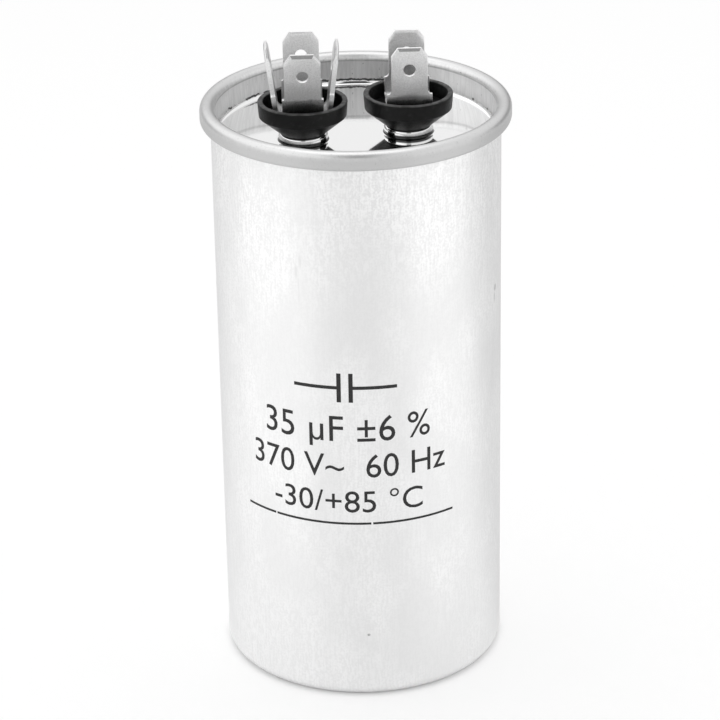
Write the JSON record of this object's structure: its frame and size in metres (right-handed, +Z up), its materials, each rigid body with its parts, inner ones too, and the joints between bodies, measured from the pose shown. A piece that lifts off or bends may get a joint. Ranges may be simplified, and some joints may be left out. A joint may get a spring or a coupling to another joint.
{
  "type": "motor-run capacitor",
  "caption": "Round metal-can capacitor with a double-seamed recessed lid, black cup insulators and push-on blade terminals on top.",
  "frame": {"origin": "centre of the face that the can stands on", "axes": "+Z up along the can's axis towards the terminals; +X from the four-blade terminal to the two-blade terminal"},
  "size_m": [0.0536, 0.0536, 0.1142],
  "materials": {
    "can_metal": "bare drawn aluminium, satin, with fine upright draw lines",
    "lid_metal": "bright tinned sheet, mirror-like on the panel and matt where the seaming rolls have run",
    "insulator_black": "moulded black plastic, slightly worn grey along the rim",
    "blade_metal": "tinned sheet metal, satin faces and bright sheared edges",
    "rivet_metal": "tinned rivet",
    "washer_plastic": "plain moulded insulating plastic"
  },
  "bodies": {
    "root": {"can": "can_metal", "lid": "lid_metal", "four_blade_insulator": "insulator_black", "two_blade_insulator": "insulator_black", "four_blade_terminal": "blade_metal", "two_blade_terminal": "blade_metal", "four_blade_rivet": "rivet_metal", "two_blade_rivet": "rivet_metal", "four_blade_inner_washer": "washer_plastic", "two_blade_inner_washer": "washer_plastic"}
  },
  "joints": []
}
